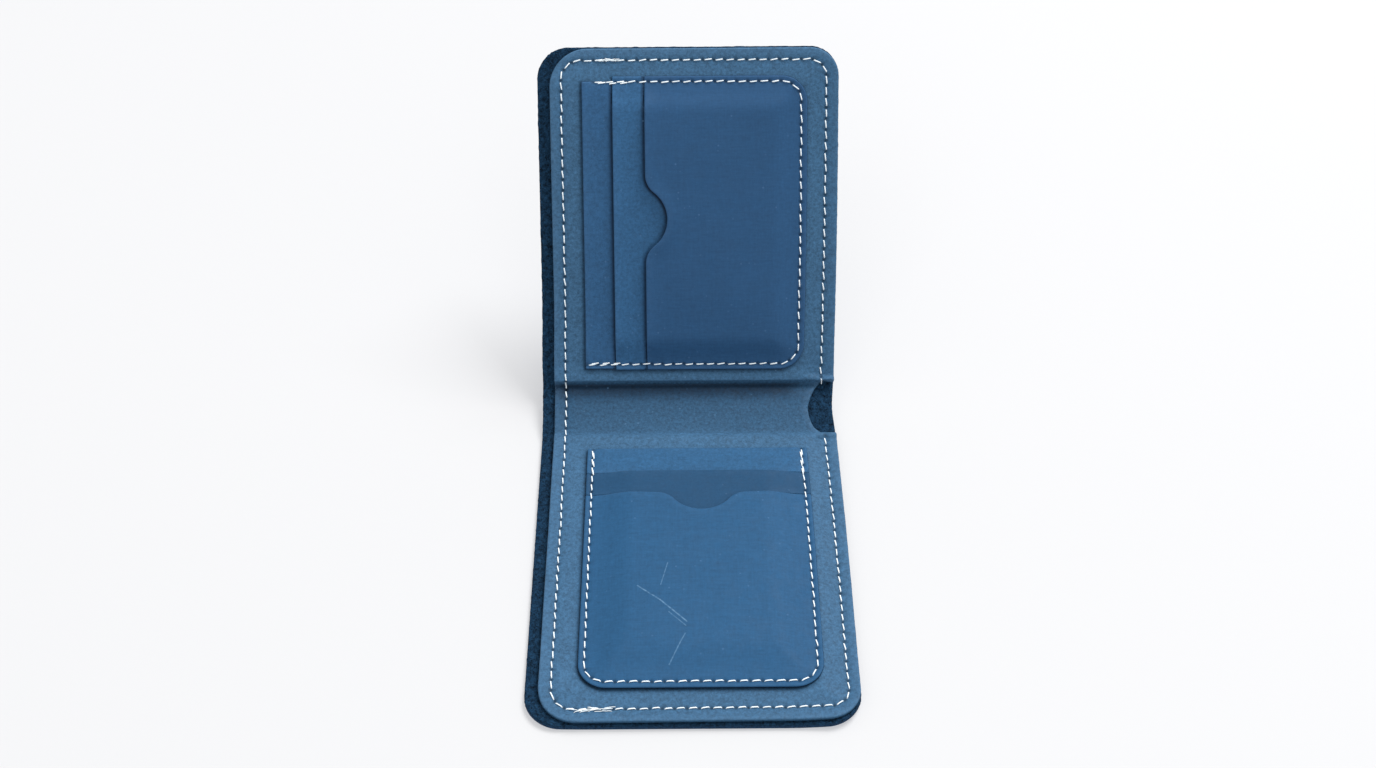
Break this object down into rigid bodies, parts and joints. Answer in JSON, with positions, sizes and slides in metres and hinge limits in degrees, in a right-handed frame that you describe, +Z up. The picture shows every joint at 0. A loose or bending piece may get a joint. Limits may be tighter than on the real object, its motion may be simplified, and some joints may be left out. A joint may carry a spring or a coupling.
{
  "type": "bifold wallet",
  "caption": "Tall leather wallet that folds in half along a wide spine band, with a banknote space open at one side, stepped card pockets with thumb notches, and edge stitching.",
  "frame": {"origin": "middle of the lower half's outer face, which lies flat on the ground; the middle is halfway across the cover and halfway from the free edge to the fold line", "axes": "+Z up, +X across the wallet to its closed, stitched side, +Y from the lower half's free edge towards the spine and the raised upper half"},
  "size_m": [0.095, 0.1884, 0.0969],
  "materials": {
    "cover_leather": "matt nubuck outside, dark suede inside",
    "liner_leather": "matt waxed nubuck",
    "pocket_leather": "matt waxed nubuck",
    "thread": "waxed twisted thread"
  },
  "bodies": {
    "lower_half": {"cover_lower": "cover_leather", "liner_lower": "liner_leather", "lower_pocket_back": "pocket_leather", "lower_pocket_middle": "pocket_leather", "lower_pocket_front": "pocket_leather", "lower_pocket_thread": "thread", "seam_thread_lower_inside": "thread", "seam_thread_lower_outside": "thread", "mouth_thread_lower": "thread"},
    "spine": {"cover_spine": "cover_leather", "liner_spine": "liner_leather", "mouth_thread_spine": "thread"},
    "upper_half": {"cover_upper": "cover_leather", "liner_upper": "liner_leather", "upper_pocket_back": "pocket_leather", "upper_pocket_middle": "pocket_leather", "upper_pocket_front": "pocket_leather", "upper_pocket_thread": "thread", "seam_thread_upper_inside": "thread", "seam_thread_upper_outside": "thread", "mouth_thread_upper": "thread"}
  },
  "joints": [
    {"name": "lower_fold", "type": "hinge", "parent": "lower_half", "child": "spine", "pos_m": [0, 0.0535, 0.0025], "axis": [1, 0, 0], "range_deg": [-19, 72]},
    {"name": "upper_fold", "type": "hinge", "parent": "spine", "child": "upper_half", "pos_m": [0, 0.07146, 0.00869], "axis": [1, 0, 0], "range_deg": [-36, 55]}
  ]
}
